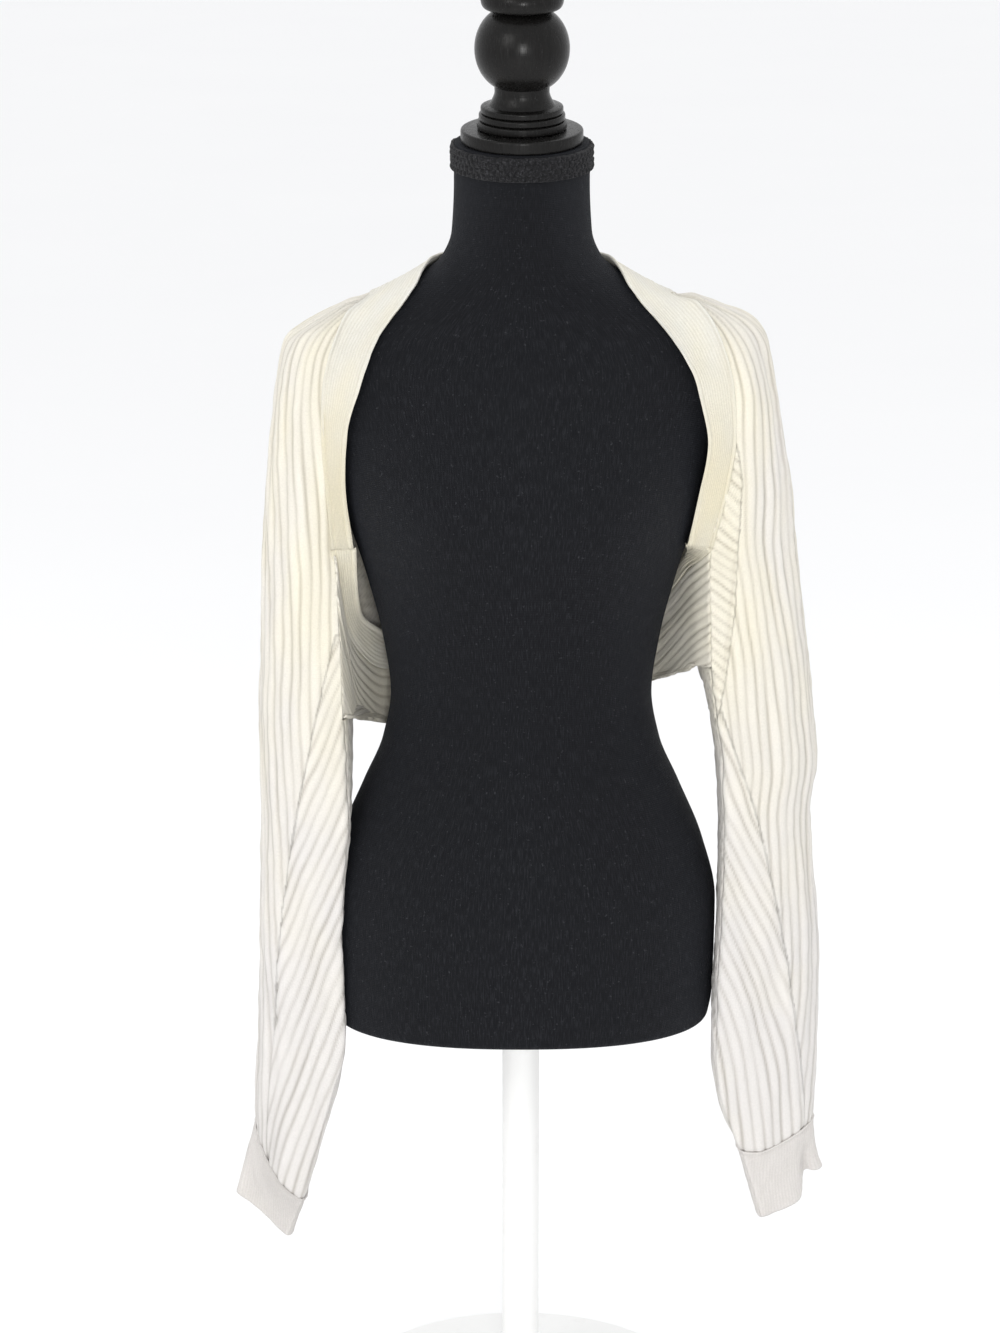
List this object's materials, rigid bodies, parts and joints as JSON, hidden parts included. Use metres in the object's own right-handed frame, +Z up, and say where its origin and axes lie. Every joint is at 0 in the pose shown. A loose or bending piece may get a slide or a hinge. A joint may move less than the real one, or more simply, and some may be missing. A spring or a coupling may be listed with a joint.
{
  "type": "knitted rib shrug on a limbless dress form",
  "caption": "Cream knitted shrug with long wide-rib sleeves and a fine-rib band round its open front, resting on a black limbless dress form with a turned wooden finial and a pole stand.",
  "frame": {"origin": "centre of the underside of the stand's round base", "axes": "+Z up the form's height, -Y towards the wearer's front, +X towards the wearer's left side"},
  "size_m": [0.5077, 0.3, 1.2433],
  "materials": {
    "rib_knit": "matte wide rib knit, ivory",
    "fine_rib_band": "matte fine rib knit, warm cream",
    "fine_rib_cuff": "matte fine rib knit, pale cream",
    "black_jersey": "matte stretch jersey, black",
    "black_braid": "knobbly braid, black",
    "black_wood": "satin black stain on turned wood",
    "white_metal": "satin white paint"
  },
  "bodies": {
    "root": {"sleeve_right": "rib_knit", "sleeve_left": "rib_knit", "back_panel": "rib_knit", "neck_band": "fine_rib_band", "hem_band": "fine_rib_band", "cuff_right": "fine_rib_cuff", "cuff_left": "fine_rib_cuff", "form_body": "black_jersey", "neck_trim": "black_braid", "cap_disc": "black_wood", "finial": "black_wood", "stand_pole": "white_metal", "stand_base": "white_metal"}
  },
  "joints": []
}
